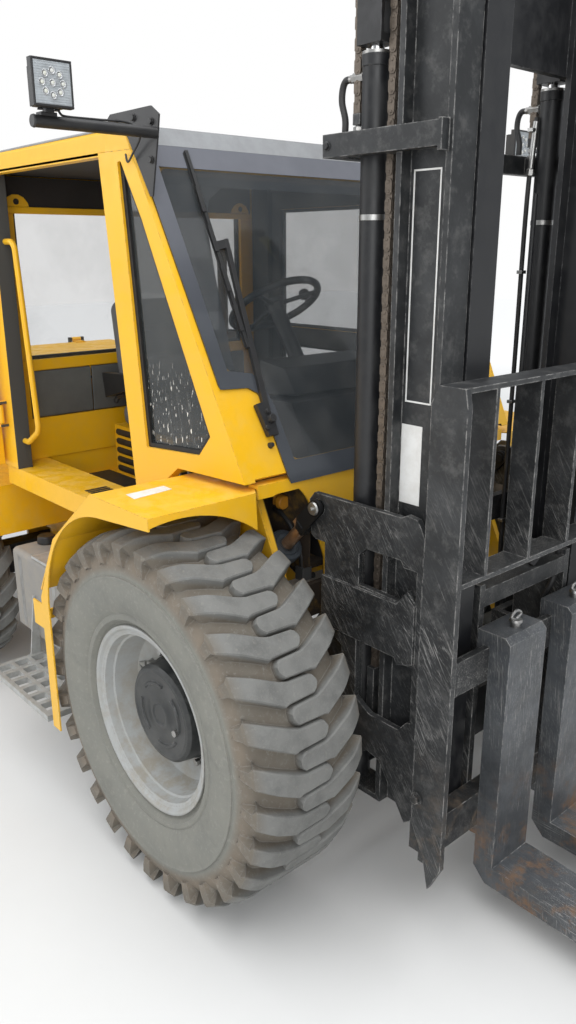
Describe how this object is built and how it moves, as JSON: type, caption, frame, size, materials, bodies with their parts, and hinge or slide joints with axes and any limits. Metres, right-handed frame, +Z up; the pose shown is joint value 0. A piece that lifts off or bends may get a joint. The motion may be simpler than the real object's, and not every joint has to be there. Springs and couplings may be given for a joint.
{
  "type": "rough terrain forklift",
  "caption": "Four-wheel rough terrain forklift with a two-stage lift mast, tilting cylinders, sliding forks, steered rear wheels and an open-door cab",
  "frame": {"origin": "on the ground at the middle of the machine's whole length and width, mast upright, forks down", "axes": "+X forward to the fork tips, +Y to the driver's left, +Z up"},
  "size_m": [5.26, 2.372, 3.0859],
  "materials": {
    "paint_yellow": "semi-gloss machine paint",
    "paint_black": "satin paint",
    "fork_steel": "worn black paint on forged steel",
    "rim_grey": "silver-grey paint",
    "tyre_rubber": "dusty matt rubber",
    "clear_glass": "lightly tinted clear glass",
    "rod_chrome": "polished rod",
    "chain_steel": "oiled leaf chain",
    "tank_grey": "dusty grey paint",
    "step_steel": "galvanised grating",
    "engine_iron": "plain casting",
    "exhaust_steel": "heat-darkened steel",
    "seat_cloth": "woven seat cloth",
    "black_plastic": "moulded black"
  },
  "bodies": {
    "chassis": {"chassis_frame": "paint_yellow", "counterweight": "paint_black", "engine_block": "engine_iron", "radiator_grille": "paint_black", "exhaust": "exhaust_steel", "front_axle": "paint_black", "rear_axle": "paint_black", "side_tanks": "tank_grey", "steps": "step_steel", "fenders": "paint_yellow", "cab_floor": "paint_yellow", "cab_frame": "paint_yellow", "cab_roof": "paint_yellow", "front_cowl": "paint_yellow", "windshield": "clear_glass", "quarter_glass": "clear_glass", "rear_wall": "paint_yellow", "rear_glass": "clear_glass", "left_wall": "paint_yellow", "left_glass": "clear_glass", "seat_cushion": "seat_cloth", "seat_back": "seat_cloth", "dash_console": "black_plastic", "grab_handle": "paint_yellow", "work_lamps": "black_plastic", "wiper": "black_plastic", "headliner": "black_plastic"},
    "hood": {"engine_hood": "paint_yellow"},
    "door": {"cab_door": "paint_yellow", "door_glass": "clear_glass"},
    "steering": {"steering_wheel": "black_plastic"},
    "front_wheel_left": {"tyre_front_left": "tyre_rubber", "rim_front_left": "rim_grey"},
    "front_wheel_right": {"tyre_front_right": "tyre_rubber", "rim_front_right": "rim_grey"},
    "knuckle_left": {"rear_knuckle_left": "paint_black"},
    "knuckle_right": {"rear_knuckle_right": "paint_black"},
    "rear_wheel_left": {"tyre_rear_left": "tyre_rubber", "rim_rear_left": "rim_grey"},
    "rear_wheel_right": {"tyre_rear_right": "tyre_rubber", "rim_rear_right": "rim_grey"},
    "mast": {"mast_outer": "paint_black", "lift_barrels": "paint_black", "chain_rear_runs": "chain_steel"},
    "inner_mast": {"mast_inner": "paint_black", "lift_rods": "rod_chrome", "chain_sheaves": "chain_steel", "chain_front_runs": "chain_steel"},
    "carriage_body": {"carriage": "paint_black", "load_backrest": "paint_black"},
    "left_fork": {"fork_left": "fork_steel"},
    "right_fork": {"fork_right": "fork_steel"},
    "tilt_cylinder": {"tilt_barrels": "paint_black"},
    "tilt_rod": {"tilt_rods": "rod_chrome"}
  },
  "joints": [
    {"name": "front_wheel_left_spin", "type": "hinge", "parent": "chassis", "child": "front_wheel_left", "pos_m": [0.52, 0.86, 0.655], "axis": [0, 1, 0], "continuous": true},
    {"name": "front_wheel_right_spin", "type": "hinge", "parent": "chassis", "child": "front_wheel_right", "pos_m": [0.52, -0.86, 0.655], "axis": [0, 1, 0], "continuous": true},
    {"name": "rear_steer_right", "type": "hinge", "parent": "chassis", "child": "knuckle_right", "pos_m": [-1.73, -0.65, 0.5], "axis": [0, 0, 1], "range_deg": [-35, 35]},
    {"name": "rear_steer_left", "type": "hinge", "parent": "chassis", "child": "knuckle_left", "pos_m": [-1.73, 0.65, 0.5], "axis": [0, 0, 1], "range_deg": [-35, 35]},
    {"name": "rear_wheel_left_spin", "type": "hinge", "parent": "knuckle_left", "child": "rear_wheel_left", "pos_m": [-1.73, 0.86, 0.5], "axis": [0, 1, 0], "continuous": true},
    {"name": "rear_wheel_right_spin", "type": "hinge", "parent": "knuckle_right", "child": "rear_wheel_right", "pos_m": [-1.73, -0.86, 0.5], "axis": [0, 1, 0], "continuous": true},
    {"name": "mast_tilt", "type": "hinge", "parent": "chassis", "child": "mast", "pos_m": [0.92, 0, 0.54], "axis": [0, 1, 0], "range_deg": [-10, 10]},
    {"name": "tilt_cylinder_swing", "type": "hinge", "parent": "chassis", "child": "tilt_cylinder", "pos_m": [0.305, 0, 0.845], "axis": [0, 1, 0], "range_deg": [-8, 8]},
    {"name": "tilt_rod_slide", "type": "slide", "parent": "tilt_cylinder", "child": "tilt_rod", "axis": [0.6931, 0, 0.7208], "range_m": [-0.116, 0.116]},
    {"name": "mast_lift", "type": "slide", "parent": "mast", "child": "inner_mast", "axis": [0, 0, 1], "range_m": [0, 1.8], "deforming": ["chain_rear_runs"]},
    {"name": "carriage_lift", "type": "slide", "parent": "inner_mast", "child": "carriage_body", "axis": [0, 0, 1], "range_m": [0, 1.8], "deforming": ["chain_front_runs"]},
    {"name": "fork_shift_right", "type": "slide", "parent": "carriage_body", "child": "right_fork", "axis": [0, 1, 0], "range_m": [-0.27, 0.07]},
    {"name": "fork_shift_left", "type": "slide", "parent": "carriage_body", "child": "left_fork", "axis": [0, 1, 0], "range_m": [-0.07, 0.27]},
    {"name": "door_hinge", "type": "hinge", "parent": "chassis", "child": "door", "pos_m": [-0.98, -0.815, 1.84], "axis": [0, 0, 1], "range_deg": [0, 170]},
    {"name": "hood_hinge", "type": "hinge", "parent": "chassis", "child": "hood", "pos_m": [-2.355, 0, 1.617], "axis": [0, -1, 0], "range_deg": [0, 60]},
    {"name": "steering_wheel_spin", "type": "hinge", "parent": "chassis", "child": "steering", "pos_m": [-0.013, 0, 1.95], "axis": [-0.5501, 0, 0.8351], "continuous": true}
  ],
  "couplings": [
    {"joint": "rear_steer_left", "follows": "rear_steer_right", "ratio": 1},
    {"joint": "carriage_lift", "follows": "mast_lift", "ratio": 1},
    {"joint": "tilt_cylinder_swing", "follows": "mast_tilt", "ratio": 0.71},
    {"joint": "tilt_rod_slide", "follows": "mast_tilt", "m_per_rad": 0.65}
  ]
}
